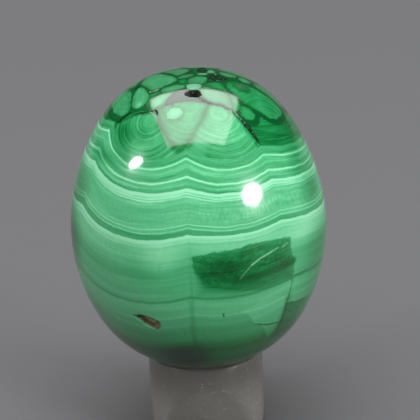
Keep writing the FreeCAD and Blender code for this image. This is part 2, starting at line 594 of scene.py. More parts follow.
CAP_NODULES: tuple[Nodule, ...] = (
    Nodule(
        ((-13.6, -7.7), (-11.6, -8.3), (-9.8, -8.7), (-8.2, -9.3), (-6.9, -9.9), (-6.25, -10.9),
         (-6.0, -12.5), (-5.3, -14.6), (-4.1, -16.8), (-3.2, -19.2), (-7.6, -19.4), (-10.2, -18.5),
         (-12.2, -17.0), (-13.8, -14.2), (-14.7, -10.9), (-14.8, -8.6)),
        tone=0.61, rings=1.6, core=(-7.4, -10.9), outline=0.2,
    ),
    Nodule(
        ((-4.6, -9.3), (-2.6, -8.9), (-0.2, -8.9), (2.2, -9.6), (2.35, -10.4), (1.35, -13.0),
         (-0.1, -15.0), (-0.9, -17.3), (-2.8, -17.4), (-3.8, -16.1), (-4.9, -14.3), (-5.4, -12.0),
         (-5.2, -10.2)),
        tone=0.58, rings=1.1, core=(-0.4, -10.0), outline=0.15,
    ),
    Nodule(
        ((-4.4, -10.6), (-3.6, -9.9), (-2.4, -10.0), (-1.8, -10.9), (-2.4, -11.9), (-3.6, -12.1),
         (-4.4, -11.5)),
        tone=0.76, rings=0.1, outline=0.0, grey=0.4,
    ),
    Nodule(
        ((2.9, -9.9), (5.0, -9.9), (6.4, -10.9), (7.8, -11.7), (9.2, -13.1), (10.6, -14.1),
         (11.7, -15.0), (12.4, -17.8), (9.4, -20.4), (5.2, -21.6), (1.0, -21.2), (-2.4, -18.8),
         (0.4, -15.0), (1.8, -12.8)),
        tone=0.65, rings=1.2, core=(4.3, -10.9), outline=0.15,
    ),
    Nodule(
        ((1.5, -5.6), (1.6, -7.0), (2.3, -8.2), (3.4, -8.85), (4.8, -8.95), (6.0, -9.6), (6.6, -9.6),
         (6.4, -8.0), (6.1, -6.9), (5.4, -6.3), (4.2, -5.9), (3.0, -5.3), (2.0, -5.1)),
        tone=0.49, rings=0.2, outline=0.7, grey=0.3,
    ),
    Nodule(
        ((6.6, -6.4), (7.4, -7.0), (7.9, -8.0), (7.9, -9.2), (7.4, -9.9), (6.85, -9.7), (6.75, -8.2),
         (6.4, -7.0)),
        tone=0.56, rings=0.2,
    ),
    Nodule(
        ((2.0, -4.6), (2.6, -3.9), (3.6, -3.5), (4.8, -3.6), (5.4, -4.3), (5.9, -5.3), (6.2, -6.1),
         (5.7, -6.05), (4.4, -5.6), (3.0, -5.0)),
        tone=0.50, rings=0.5,
    ),
    Nodule(
        ((5.95, -4.4), (5.8, -3.2), (6.3, -2.3), (7.4, -1.7), (9.4, -1.7), (12.0, -1.6), (14.6, -1.6),
         (16.4, -2.3), (16.7, -3.8), (16.1, -5.2), (15.1, -6.8), (13.8, -7.75), (12.4, -7.7),
         (11.2, -7.85), (10.1, -7.8), (8.6, -7.35), (7.5, -6.3), (6.6, -5.3)),
        tone=0.52, rings=0.7, core=(15.0, -9.5),
    ),
    Nodule(
        ((7.2, -3.4), (7.4, -2.3), (8.3, -1.95), (9.3, -2.4), (9.4, -3.2), (8.8, -4.0), (7.9, -4.1)),
        tone=0.42, rings=1.5, core=(8.35, -3.0), outline=0.3, grey=0.15,
    ),
    Nodule(
        ((8.25, -8.4), (9.5, -8.25), (10.6, -8.7), (10.9, -9.4), (10.5, -10.5), (9.4, -10.85),
         (8.5, -10.3), (8.15, -9.4)),
        tone=0.52,
    ),
    Nodule(
        ((-7.7, 2.6), (-8.35, 0.7), (-7.9, -1.0), (-7.1, -2.6), (-6.5, -3.75), (-5.8, -3.95),
         (-4.6, -3.7), (-3.2, -3.1), (-2.45, -2.3), (-2.6, -1.2), (-3.6, 0.2), (-4.6, 1.8), (-5.6, 3.2),
         (-6.7, 3.5)),
        tone=0.56, outline=0.8, grey=0.2,
    ),
    Nodule(
        ((-8.9, -0.9), (-9.8, -2.6), (-10.2, -4.6), (-10.3, -5.9), (-9.6, -6.85), (-8.7, -7.1),
         (-7.65, -6.4), (-7.15, -5.2), (-7.45, -3.6), (-8.15, -1.7)),
        tone=0.62, outline=0.9, grey=0.15,
    ),
    Nodule(
        ((-14.4, 1.6), (-14.3, -2.0), (-13.7, -4.6), (-12.5, -6.3), (-11.2, -6.6), (-10.65, -5.4),
         (-10.45, -3.4), (-10.3, -1.2), (-10.7, 0.6), (-11.3, 2.6), (-12.8, 3.2)),
        tone=0.59, rings=0.9, core=(-8.4, -1.0), outline=0.7, grey=0.1,
    ),
    Nodule(
        ((-6.9, -4.95), (-7.15, -6.2), (-7.9, -7.3), (-7.4, -8.2), (-7.1, -7.3), (-6.8, -6.5),
         (-5.9, -5.8), (-5.1, -5.6), (-5.5, -5.0)),
        tone=0.49, outline=0.6,
    ),
    Nodule(
        ((-6.8, -7.0), (-6.8, -8.2), (-6.0, -8.6), (-5.0, -8.5), (-4.2, -7.5), (-3.5, -6.5),
         (-4.3, -6.05), (-5.7, -6.15)),
        tone=0.64, rings=0.1, outline=0.6, grey=0.1,
    ),
    Nodule(
        ((-5.0, -4.5), (-3.6, -4.15), (-2.4, -3.95), (-1.2, -4.5), (-1.2, -5.0), (-2.6, -5.4),
         (-3.9, -5.75), (-4.9, -5.5)),
        tone=0.53, outline=0.8, grey=0.2,
    ),
    Nodule(
        ((-4.2, -8.7), (-3.2, -6.5), (-1.6, -5.5), (-0.9, -5.7), (-1.3, -6.9), (0.2, -7.8), (1.6, -8.8),
         (3.2, -9.4), (6.2, -9.8), (4.0, -9.7), (1.5, -9.2), (-1.0, -8.7), (-3.0, -8.8)),
        tone=0.22, rings=0.3, outline=0.0, grey=0.1,
    ),
    Nodule(
        ((-0.7, -4.5), (0.4, -4.15), (1.4, -4.5), (1.5, -5.4), (0.9, -5.7), (-0.3, -5.65)),
        tone=0.62, rings=0.1, outline=0.5, grey=0.8,
    ),
    Nodule(
        ((0.2, -1.8), (1.4, -1.4), (2.6, -1.9), (2.4, -3.3), (1.8, -4.3), (1.1, -4.1), (0.3, -3.9),
         (-0.5, -3.8), (-0.5, -2.8)),
        tone=0.47, rings=0.5, outline=0.9, grey=0.2,
    ),
    Nodule(((-1.9, -2.6), (-0.9, -2.5), (-0.7, -3.4), (-1.2, -3.85), (-1.9, -3.5)), tone=0.50),
    Nodule(
        ((-2.2, -1.6), (-1.6, -0.7), (-0.2, -0.2), (0.5, -0.5), (0.0, -1.4), (-0.9, -1.9)),
        tone=0.45, rings=0.5, outline=0.9, grey=0.2,
    ),
    Nodule(
        ((-4.3, 3.1), (-3.1, 0.9), (-2.2, -0.4), (-1.0, 0.4), (-0.3, 1.6), (-0.6, 2.8), (-2.0, 3.7),
         (-3.5, 4.0)),
        tone=0.44, rings=0.6, outline=0.9, grey=0.3,
    ),
    Nodule(
        ((1.1, -0.2), (1.6, 0.1), (2.7, 0.0), (2.9, -0.5), (2.2, -0.7), (1.3, -0.7)),
        tone=0.54, rings=0.1, outline=0.6, grey=0.5,
    ),
    Nodule(
        ((2.9, 0.4), (2.8, 1.4), (3.3, 2.2), (3.9, 1.6), (3.9, 0.7)),
        tone=0.53, rings=0.3, outline=0.8, grey=0.5,
    ),
    Nodule(
        ((4.9, 1.6), (5.0, 0.4), (6.2, -0.2), (7.5, 0.3), (7.4, 1.2), (6.3, 1.8)),
        tone=0.47, rings=0.6, outline=0.8, grey=0.35,
    ),
    Nodule(
        ((8.1, 0.9), (8.2, -0.2), (9.1, -0.7), (10.0, -0.2), (10.0, 0.9), (9.1, 1.5)),
        tone=0.48, rings=1.1, core=(9.1, 0.4), outline=0.8, grey=0.3,
    ),
    Nodule(
        ((10.7, 0.9), (11.2, -0.6), (13.6, -0.9), (16.2, -0.7), (17.2, 0.4), (15.2, 1.6), (12.6, 2.2)),
        tone=0.42, rings=0.7, outline=0.9, grey=0.2,
    ),
    Nodule(
        ((-0.4, 3.9), (2.6, 4.3), (4.6, 5.4), (4.9, 7.4), (3.0, 8.9), (0.4, 8.6), (-1.2, 6.6)),
        tone=0.48, rings=0.6, outline=0.9, grey=0.3,
    ),
    Nodule(
        ((-1.9, 4.6), (-1.8, 7.0), (-3.0, 9.4), (-5.6, 9.8), (-8.0, 8.4), (-8.2, 6.0), (-5.8, 4.6)),
        tone=0.60, rings=0.6,
    ),
    Nodule(
        ((4.6, 3.2), (5.6, 2.4), (8.0, 2.0), (10.6, 2.8), (11.4, 5.0), (9.6, 7.4), (6.6, 7.6),
         (5.2, 5.2)),
        tone=0.44, rings=0.7, outline=0.9, grey=0.2,
    ),
    Nodule(
        ((-9.7, 0.8), (-8.7, 3.4), (-6.6, 4.3), (-8.6, 5.6), (-11.2, 5.6), (-11.6, 3.6), (-10.8, 1.8)),
        tone=0.52, rings=0.6,
    ),
    Nodule(
        ((-12.0, 3.9), (-12.0, 6.2), (-9.2, 7.0), (-8.9, 9.4), (-11.6, 11.0), (-14.6, 9.4),
         (-15.4, 6.2), (-14.4, 3.8)),
        tone=0.56, rings=0.8,
    ),
    Nodule(
        ((12.0, 3.2), (14.6, 2.8), (17.2, 1.8), (18.6, 3.8), (17.4, 6.8), (14.4, 8.0), (11.9, 6.6)),
        tone=0.50, rings=0.8,
    ),
    Nodule(
        ((4.6, 9.0), (7.6, 8.5), (11.2, 8.1), (13.4, 9.6), (13.2, 13.2), (10.6, 16.8), (6.6, 17.6),
         (3.4, 13.8), (3.0, 10.6)),
        tone=0.58, rings=1.0, core=(7.9, 11.9), outline=0.6,
    ),
    Nodule(
        ((2.4, 10.0), (2.7, 13.6), (5.4, 18.0), (2.4, 20.0), (-1.6, 20.0), (-5.2, 18.4), (-5.4, 13.6),
         (-3.6, 10.6), (-0.8, 9.4)),
        tone=0.62, rings=1.0, core=(-1.2, 13.6), outline=0.6,
    ),
    Nodule(
        ((-6.0, 10.6), (-6.0, 14.0), (-6.2, 18.0), (-10.6, 18.0), (-14.6, 15.2), (-14.2, 12.0),
         (-9.6, 10.6)),
        tone=0.55, rings=1.0, core=(-9.4, 13.2), outline=0.6,
    ),
    Nodule(
        ((14.2, 9.0), (17.0, 7.6), (19.6, 8.4), (19.0, 12.4), (15.8, 14.6), (13.9, 12.6)),
        tone=0.52, rings=1.0,
    ),
)

# Outlines of the open gaps between the nodules

CAP_GAPS: tuple[Outline, ...] = (
    ((6.7, -10.2), (8.0, -11.0), (9.4, -11.7), (10.4, -12.1), (11.1, -13.0), (12.2, -14.2),
     (11.7, -14.3), (10.5, -13.5), (9.3, -12.5), (8.1, -11.5), (6.9, -10.7)),
    ((1.1, -7.4), (1.9, -8.3), (2.9, -8.95), (3.45, -9.15), (2.8, -9.3), (1.8, -8.8), (1.0, -7.95)),
    ((1.0, 0.9), (1.1, 2.4), (1.5, 3.9), (2.4, 3.9), (2.7, 2.0), (2.6, 0.7), (1.8, 0.35)),
    ((2.9, -0.2), (4.2, 0.2), (4.9, -0.5), (6.1, -0.9), (5.6, -2.1), (4.2, -2.9), (2.9, -3.3),
     (2.8, -2.0), (2.5, -0.9)),
    ((-13.6, -6.9), (-11.8, -6.95), (-10.6, -7.0), (-10.8, -7.35), (-12.2, -7.45), (-13.7, -7.3)),
    ((-10.6, -7.95), (-9.0, -8.3), (-7.4, -8.95), (-6.0, -9.3), (-6.1, -10.6), (-7.0, -9.5),
     (-9.0, -8.75)),
    ((-7.0, -4.1), (-6.2, -4.25), (-5.2, -4.2), (-6.2, -4.75), (-6.9, -4.75)),
    ((-9.6, 0.2), (-9.0, 0.4), (-8.6, -0.4), (-9.0, -0.8), (-9.7, -0.7)),
)


@dataclass(frozen=True)
class NoduleCap:
    """The cluster of nodules on the top of the egg.

    Args:
        reach: Distance from the pole that the nodules stay within.
        lowest_level: Growth level from which the nodules are looked for.
        warp: How far outlines wander.
        swell: How far nodules reach past their outlines where nothing is near.
        nodules: The nodules; where two overlap, the later one lies in front.
        gaps: Outlines of the open gaps between them.
    """

    reach: float = 24.0
    lowest_level: float = 15.0
    warp: float = 0.16
    swell: float = 0.85
    nodules: tuple[Nodule, ...] = CAP_NODULES
    gaps: tuple[Outline, ...] = CAP_GAPS

    def prepared(self) -> tuple[list[tuple[Nodule, Outline, Box]], list[tuple[Outline, Box]]]:
        """Smooth the outlines of nodules and gaps, each with the box that it keeps to."""
        nodules = []
        for nodule in self.nodules:
            line = smooth_outline(nodule.corners, NODULE_STEPS)
            nodules.append((nodule, line, box_of(line, NODULE_MARGIN)))
        gaps = []
        for corners in self.gaps:
            line = smooth_outline(corners, GAP_STEPS)
            gaps.append((line, box_of(line, GAP_MARGIN)))
        return nodules, gaps

    def warped(self, spot: Pair) -> Pair:
        """Let a place of the cap wander a little, so that outlines are uneven."""
        where = Vector((spot[0] * 0.5, spot[1] * 0.5, 4.0))
        other = where + Vector((9, 5, 2))
        return (
            spot[0] + self.warp * (noise.noise(where) + 0.45 * noise.noise(where * 3.7)),
            spot[1] + self.warp * (noise.noise(other) + 0.45 * noise.noise(other * 3.7)),
        )

    def read(
        self, spot: Pair, nodules: list[tuple[Nodule, Outline, Box]]
    ) -> tuple[float, float, Nodule]:
        """Find the nodule at a place of the cap.

        Args:
            spot: Place to the right and to the back of the pole.
            nodules: The nodules with their smooth outlines and boxes.

        Returns:
            Its ring depth, the distance from its edge, negative outside, and the nodule.
        """
        near = []
        for nodule, line, box in nodules:
            if within(spot, box):
                near.append((inside_distance(spot, line), nodule))
        if not near:
            return 0.0, FAR_OUTSIDE, self.nodules[0]
        owners = [index for index, (inside, _) in enumerate(near) if inside > 0]
        owner = owners[-1] if owners else max(range(len(near)), key=lambda index: near[index][0])
        inside, nodule = near[owner]
        edge = inside + self.swell
        for index, (other, _) in enumerate(near):
            if other < 0:
                edge = min(edge, (inside - other) / 2, -other if index > owner else edge)
            elif index < owner:
                edge = min(edge, inside)
        ring = inside if nodule.core is None else math.dist(spot, nodule.core)
        return ring, edge, nodule


# Marks in the banded part


@dataclass(frozen=True)
class Trail:
    """A line on the surface through a few places, such as a crack or a scratch.

    Args:
        places: Azimuth and height on the side, or right and back on the cap.
        on_cap: Whether the places are on the cap.
        width: Half width of the line itself.
        start: Strength at its first place.
        end: Strength at its last place.
    """

    places: Outline
    on_cap: bool = False
    width: float = 0.12
    start: float = 1.0
    end: float = 1.0

    def gap(self, spot: Pair) -> Pair:
        """Distance from a place in the trail's own plane, in millimetres, and strength there."""
        best = (99.0, 0.0)
        count = len(self.places) - 1
        for index in range(count):
            (x0, y0), (x1, y1) = self.places[index], self.places[index + 1]
            run_x, run_y = x1 - x0, y1 - y0
            share = ((spot[0] - x0) * run_x + (spot[1] - y0) * run_y) / (run_x**2 + run_y**2)
            share = min(1.0, max(0.0, share))
            distance = math.hypot(spot[0] - x0 - share * run_x, spot[1] - y0 - share * run_y)
            if distance < best[0]:
                along = (index + share) / count
                best = (distance, self.start + (self.end - self.start) * along)
        return best


class TrailKind(Enum):
    """What a trail is, with the name of the mesh field that holds its closeness."""

    VEIN = "vein"
    CRACK = "crack"
    SCRATCH = "scratch"


@dataclass(frozen=True)
class Blot:
    """A soft place where the stone is paler or darker; some of the dark ones are painted shade.

    Args:
        across: Azimuth of its middle, or place to the right on the cap.
        up: Height of its middle, or place to the back on the cap.
        half_across: Half of its breadth in millimetres.
        half_up: Half of its height in millimetres.
        shift: Change of tone at its middle.
        on_cap: Whether its place is on the cap.
    """

    across: float
    up: float
    half_across: float
    half_up: float
    shift: float
    on_cap: bool = False

    def value(self, across_mm: float, up_mm: float) -> float:
        """Change of tone at an offset from the middle."""
        away = math.hypot(across_mm / self.half_across, up_mm / self.half_up)
        if away >= 1:
            return 0.0
        if away > 0.5:
            return self.shift * (1 - away * away) ** 2
        return self.shift * (1 - 1.75 * away**2)


@dataclass(frozen=True)
class SurfaceMarks:
    """Everything in the stone that is not a band or a nodule.

    Args:
        girth: Radius that turns azimuths of the side into millimetres.
        patch: Outline of the dark mottled patch on the front, as azimuths and heights.
        shaded: Outline of the dark broken part at its lower right.
        torn: Outline of the pale torn patch under it.
        veins: Dark veins.
        cracks: Fine dark cracks.
        scratches: Pale scratches.
        blots: Soft places; the dark ones at the limbs and at the bottom front are painted shade.
    """

    girth: float = 21.7
    patch: Outline = (
        (-3.6, 2.5), (2, 2.8), (9, 3.0), (14.5, 3.0), (22, 3.4), (30.5, 3.2), (43.5, 2.5),
        (43.2, 0.2), (44.6, -2.0), (44.4, -5.2), (35, -5.3), (23.5, -5.4), (12, -5.4), (-3.6, -5.0),
    )
    shaded: Outline = (
        (41.5, -9.8), (45, -9.9), (49, -10.4), (55, -10.6), (62, -11.4), (74, -12.5), (74, -19),
        (44, -19), (39, -17), (40, -16.2), (40.5, -13.2), (41.5, -11.4),
    )
    torn: Outline = (
        (17, -8.4), (21.5, -9.6), (24, -11.6), (28, -11.9), (31, -13.6), (34.5, -16.4), (39, -15.6),
        (40, -13.2), (41, -11.0), (41, -8.0), (30, -6.6),
    )
    veins: tuple[Trail, ...] = (
        Trail(((-4.2, 4.6), (-4.4, 0), (-4.5, -5.2)), width=0.16, start=0.04, end=0.12),
        Trail(((-4.5, -5.2), (-5.2, -11), (-4.8, -14), (-5.2, -18)), width=0.26, start=0.16, end=0.26),
        Trail(((-5.9, -9.1), (-5.9, -12.2), (-5.1, -14.5), (-4.0, -16.9)), True, 0.2, 0.7, 0.4),
        Trail(((-5.6, -9.0), (-4.6, -8.6), (-3.6, -7.8)), True, 0.36, 0.8, 0.4),
        Trail(((14, -2.5), (21, -2.6), (29.5, -2.2), (44, -1.8)), width=0.42, start=0.5, end=0.7),
        Trail(((2.6, -9.8), (1.5, -13.0), (0.1, -15.0), (-0.8, -17.2)), True, 0.18, 0.35, 0.2),
        Trail(((42.5, -8.6), (40.8, -12.6), (39.4, -16)), width=0.5, start=0.3, end=0.5),
    )
    cracks: tuple[Trail, ...] = (
        Trail(((43.5, -5.2), (43, -7), (41.5, -9.8)), width=0.09, start=0.4, end=0.9),
        Trail(((41.5, -9.8), (41.5, -11.4), (40.5, -13.2), (40, -16), (36.5, -16.8)), width=0.12),
        Trail(((41.5, -9.8), (45, -9.9), (49, -10.4), (62, -11.4)), width=0.09, start=0.8, end=0.5),
        Trail(((25, -11.8), (28, -12.2), (32.5, -12.8)), width=0.09, start=0.4, end=0.9),
        Trail(((32.5, -12.8), (39.5, -13.2), (45, -13.7), (51, -14.6)), width=0.09, end=0.5),
        Trail(((45, -4.7), (52, -4.9), (60, -4.6)), width=0.07, start=0.7, end=0.3),
        Trail(((8.9, -8.3), (9.0, -8.9)), width=0.07),
        Trail(((28, -16.2), (32, -14.6), (34.5, -16.4), (39, -14.8)), width=0.08, start=0.2, end=0.6),
        Trail(((42, -11), (47, -12), (55, -12.2)), width=0.08, start=0.5, end=0.2),
    )
    scratches: tuple[Trail, ...] = (
        Trail(((16.5, -2.2), (19, -1.2), (22, -0.2)), width=0.05, start=0.4, end=0.7),
        Trail(((22, -0.2), (26, 0.6), (32.5, 1.2)), width=0.09, start=1.0, end=0.9),
        Trail(((33.2, 1.25), (35.5, 1.5)), width=0.07, start=0.7, end=0.8),
        Trail(((38, 1.3), (41.5, 1.7)), width=0.06, start=0.8, end=0.5),
    )
    blots: tuple[Blot, ...] = (
        Blot(-12.9, -10.4, 2.8, 4.8, -0.15, True),
        Blot(-9.0, -6.4, 0.8, 0.9, 0.14, True),
        # Painted shade: the next one darkens the bottom front, where the underside turns from the light
        Blot(-11, -18.2, 8.0, 5.2, -0.18),
        Blot(10, -0.2, 5.0, 2.5, -0.09),
        Blot(20, -2.2, 3.6, 1.2, -0.06),
        Blot(34, 1.4, 5.0, 1.6, 0.05),
        Blot(55, 1.8, 9.5, 3.6, 0.08),
        # Painted shade: the next four darken the right limb
        Blot(67, -5.0, 10.0, 10.0, -0.16),
        Blot(68, 9.0, 7.0, 9.0, -0.06),
        Blot(68, 7.6, 6.5, 3.4, -0.16),
        Blot(65, 12.5, 5.5, 3.6, -0.09),
        Blot(-17, 1.6, 5.0, 4.5, 0.08),
        # Painted shade: the next two darken the left limb
        Blot(-84, 0.0, 9.0, 9.0, -0.4),
        Blot(-78, 9.5, 8.0, 4.5, -0.2),
        Blot(-58, 15.6, 9.0, 1.8, -0.12),
    )

    def side_spot(self, azimuth: float, height: float) -> Pair:
        """Turn an azimuth and a height into a flat place in millimetres."""
        return math.radians(azimuth) * self.girth, height

    def trails(self) -> list[tuple[TrailKind, Trail]]:
        """List every trail with its kind."""
        groups = {
            TrailKind.VEIN: self.veins,
            TrailKind.CRACK: self.cracks,
            TrailKind.SCRATCH: self.scratches,
        }
        return [(kind, trail) for kind, trails in groups.items() for trail in trails]


@dataclass(frozen=True)
class Hollow:
    """A small open pit, with the places and sizes of its solid.

    Args:
        width: Breadth of its mouth.
        length: Height of its mouth.
        depth: Depth of its floor below the crust.
        crust: Thickness of its crust.
        azimuth: Azimuth of its middle.
        height_share: Height of its middle, -1 to 1.
        floor_share: Size of its floor against its mouth.
        outline: Corners of its mouth in shares of width and length.
    """

    width: float
    length: float
    depth: float
    crust: float
    azimuth: float
    height_share: float
    floor_share: float
    outline: Outline

    def place(self, outline: EggOutline, middle: Vector) -> Matrix:
        """Axes at its middle: sideways, upward and outward, then its place, in millimetres."""
        step = 1e-4
        unit = outline.scale()
        turn = math.radians(self.azimuth)
        away = Vector((math.sin(turn), -math.cos(turn), 0))
        sideways = Vector((math.cos(turn), math.sin(turn), 0))
        spots = [
            away * (unit * outline.fullness(share)) + Vector((0, 0, outline.height / 2 * share))
            for share in (self.height_share - step, self.height_share, self.height_share + step)
        ]
        upward = (spots[2] - spots[0]).normalized()
        outward = sideways.cross(upward)
        columns = Matrix((sideways, upward, outward)).transposed().to_4x4()
        columns.translation = middle + spots[1]
        return columns

    def rim(self) -> Outline:
        """The mouth as a smooth closed line through its corners."""
        corners = tuple((self.width * across, self.length * up) for across, up in self.outline)
        return smooth_outline(corners, 8)

    def rim_distance(self, angle: float, rim: Outline) -> float:
        """Distance from the middle to the mouth's edge in a direction."""
        ahead = (math.cos(angle), math.sin(angle))
        best = 0.0
        for (x0, y0), (x1, y1) in zip(rim, rim[1:] + rim[:1]):
            cross = (x1 - x0) * ahead[1] - (y1 - y0) * ahead[0]
            if abs(cross) < 1e-12:
                continue
            share = (y0 * ahead[0] - x0 * ahead[1]) / cross
            if 0 <= share <= 1:
                reach = (x0 + share * (x1 - x0)) * ahead[0] + (y0 + share * (y1 - y0)) * ahead[1]
                best = max(best, reach)
        return best


# Finishes


@dataclass(frozen=True)
class StoneReadings:
    """What several parts of the stone's tone are worked out from.

    Args:
        place: Place on the piece, in millimetres.
        right: How far right it lies.
        back: How far back it lies.
        height: How far above the egg's middle it lies.
        soft: Broad noise.
        wander: How far bands and rings wander.
        level: Growth level, with the wander.
        sheet: Place in layers along the bands.
        thin: Fine noise in those layers.
        streaks: Noise in slanting streaks.
        mottle: Fine mottling around 0.
    """

    place: Socket
    right: Socket
    back: Socket
    height: Socket
    soft: Socket
    wander: Socket
    level: Socket
    sheet: Socket
    thin: Socket
    streaks: Socket
    mottle: Socket


@dataclass(frozen=True)
class BandedStoneFinish:
    """Polished banded stone: tones of green by growth level, nodules, veins, cracks and marks.

    Args:
        greens: Tones from the darkest to the palest, with their colours.
        upper_bands: Tones by growth level near the top of the banded part.
        lower_bands: Tones by growth level below that.
        roughness: Roughness of the polish.
        bloom: Weight of the faint haze round bright reflections.
        bloom_roughness: Roughness of that haze.
        middle_height: Height of the egg's middle above the floor, in millimetres.
    """

    greens: Stops = (
        (0.10, seen(0, 14, 6)),
        (0.24, seen(0, 50, 22)),
        (0.33, seen(3, 78, 36)),
        (0.42, seen(6, 104, 47)),
        (0.50, seen(18, 128, 64)),
        (0.58, seen(42, 149, 88)),
        (0.66, seen(64, 168, 108)),
        (0.74, seen(82, 188, 128)),
        (0.82, seen(106, 208, 150)),
        (0.90, seen(136, 230, 174)),
        (0.97, seen(162, 244, 198)),
    )
    upper_bands: Outline = (
        (9.0, 0.80), (9.6, 0.77), (10.0, 0.83), (10.4, 0.80), (10.6, 0.95), (10.78, 0.84),
        (10.92, 0.96), (11.12, 0.88), (11.3, 0.98), (11.6, 0.99), (11.74, 0.67), (12.0, 0.72),
        (12.25, 0.80), (12.6, 0.72), (12.78, 0.80), (12.88, 0.97), (13.04, 0.93), (13.16, 0.74),
        (13.6, 0.70), (13.85, 0.74), (14.05, 0.81), (14.5, 0.74), (14.75, 0.78), (14.86, 0.93),
        (15.05, 0.91), (15.17, 0.75), (15.4, 0.63), (16.0, 0.67), (16.5, 0.69), (16.75, 0.62),
        (17.0, 0.70), (18.0, 0.60),
    )
    lower_bands: Outline = (
        (-16.0, 0.42), (-13.0, 0.62), (-10.8, 0.65), (-10.4, 0.69), (-8.9, 0.73), (-8.6, 0.79),
        (-8.3, 0.75), (-6.6, 0.79), (-5.6, 0.77), (-5.35, 0.66), (-5.15, 0.62), (-4.9, 0.74),
        (-4.0, 0.76), (-2.5, 0.74), (-1.2, 0.76), (-0.7, 0.70), (1.3, 0.78), (3.0, 0.84),
        (4.3, 0.85), (4.4, 0.92), (4.8, 0.89), (5.15, 0.98), (5.36, 1.0), (5.48, 0.68),
        (6.05, 0.67), (6.15, 0.90), (6.32, 0.78), (6.62, 0.78), (6.74, 0.93), (6.9, 0.78),
        (9.0, 0.80),
    )
    roughness: float = 0.08
    bloom: float = 0.4
    bloom_roughness: float = 0.26
    middle_height: float = 39.49

    def readings(self, graph: Graph, place: Socket) -> StoneReadings:
        """Read what several parts of the tone share."""
        right, back, up = graph.parts(place)
        soft = graph.speckle(place, 0.35, 2.0)
        wander = graph.add(graph.swing(soft, 0.35), graph.swing(graph.speckle(place, 2.4, 2.0), 0.07))
        level = graph.add(graph.field("growth"), wander)
        sheet = graph.layered(level, right, back, 0.05)
        return StoneReadings(
            place=place,
            right=right,
            back=back,
            height=graph.add(up, -self.middle_height),
            soft=soft,
            wander=wander,
            level=level,
            sheet=sheet,
            thin=graph.speckle(sheet, 3.6, 3.0, 0.62),
            streaks=graph.speckle(graph.stretched(place, 0.45, 0.45, 1.6, tilt=24), 1.0, 5.0, 0.62),
            mottle=graph.add(graph.speckle(place, 1.6, 5.0, 0.7), -0.5),
        )

    def tone(self, graph: Graph, place: Socket) -> Socket:
        """Work out the stone's tone, 0 to 1, from the fields of the mesh and fine noise."""
        read = self.readings(graph, place)
        tone = self._nodules(graph, read, self._bands(graph, read))
        tone = graph.add(tone, self._fibres(graph, read))
        tone = self._patch(graph, read, tone)
        return self._marks(graph, read, tone)

    def _bands(self, graph: Graph, read: StoneReadings) -> Socket:
        """Tone of the bands by growth level, with fine lines along them."""
        upper = graph.tones(read.level, self.upper_bands)
        lower = graph.tones(read.level, self.lower_bands)
        meeting = self.upper_bands[0][0]
        banded = graph.mixed(graph.math("GREATER_THAN", read.level, meeting), lower, upper)
        strength = graph.add(
            graph.rise(read.level, -7.0, -5.0, 0.05, 0.10),
            graph.rise(read.level, 4.0, 6.0, 0.0, 0.10),
            graph.rise(read.level, 9.5, 11.0, 0.0, 0.12),
        )
        broad = graph.swing(graph.speckle(read.sheet, 0.9, 1.0), 0.12)
        return graph.add(banded, graph.swing(read.thin, strength), broad)

    def _nodules(self, graph: Graph, read: StoneReadings, banded: Socket) -> Socket:
        """Lay the cap's ringed nodules, and the waves between them, over the bands."""
        depth = graph.field("ring_depth")
        rings = graph.layered(
            graph.add(depth, graph.times(read.wander, 0.8)), read.right, read.back, 0.04
        )
        ring_tone = graph.times(
            graph.swing(graph.speckle(rings, 2.6, 3.0, 0.6), 0.36),
            graph.field("ring_strength"),
            graph.rise(depth, 0.1, 1.6, 0.3, 1.0),
        )
        inside = graph.field("nodule_inside")
        cloudy = graph.add(graph.swing(read.soft, 0.22), graph.rise(inside, 0.1, 1.1, -0.08, 0.03))
        nodule = graph.add(graph.field("nodule_tone"), ring_tone, cloudy)
        in_nodule = graph.times(
            graph.rise(inside, -0.14, -0.02), graph.rise(read.level, 16.35, 16.55)
        )
        waves = graph.add(graph.swing(read.thin, 0.5), 0.47)
        between = graph.mixed(graph.rise(inside, -0.6, -0.05), waves, 0.33)
        dull = graph.mixed(graph.rise(read.level, 16.3, 16.9), banded, between)
        rim = graph.times(
            graph.rise(inside, 0.0, 0.15, 1.0, 0.0), in_nodule, graph.field("outline_strength"), 0.85
        )
        return graph.mixed(rim, graph.mixed(in_nodule, dull, nodule), 0.32)

    def _fibres(self, graph: Graph, read: StoneReadings) -> Socket:
        """Swing of the tone along upright fibres, strongest in one belt on the right."""
        fibres = graph.speckle(graph.stretched(read.place, 1.0, 1.0, 0.12), 2.6, 3.0, 0.6)
        fibrous = graph.times(
            graph.rise(read.level, 6.9, 7.6),
            graph.rise(read.level, 8.4, 10.2, 1.0, 0.2),
            graph.rise(read.right, -6.0, 3.0, 0.1, 1.0),
        )
        return graph.swing(fibres, graph.mixed(fibrous, 0.05, 0.24))

    def _patch(self, graph: Graph, read: StoneReadings, tone: Socket) -> Socket:
        """Lay the dark mottled patch of the front over a tone."""
        edge = graph.add(
            graph.field("patch_inside"), graph.swing(read.streaks, 0.9), graph.times(read.mottle, 0.8)
        )
        strip = graph.rise(read.height, -3.2, -2.2, 1.0, 0.0)
        fade = graph.rise(graph.add(read.right, graph.times(read.height, 2.2)), -9.0, 1.0, 3.4, 0.3)
        patch_tone = graph.add(
            graph.times(strip, 0.02),
            graph.rise(edge, 0.0, 1.8, 0.55, 0.47),
            graph.swing(read.streaks, 0.22),
            graph.times(read.mottle, graph.mixed(strip, 0.34, 0.1)),
            graph.swing(read.thin, 0.25),
        )
        in_patch = graph.math("DIVIDE", graph.add(edge, 0.1), fade, clamp=True)
        return graph.mixed(graph.times(in_patch, graph.mixed(strip, 1.0, 0.95)), tone, patch_tone)

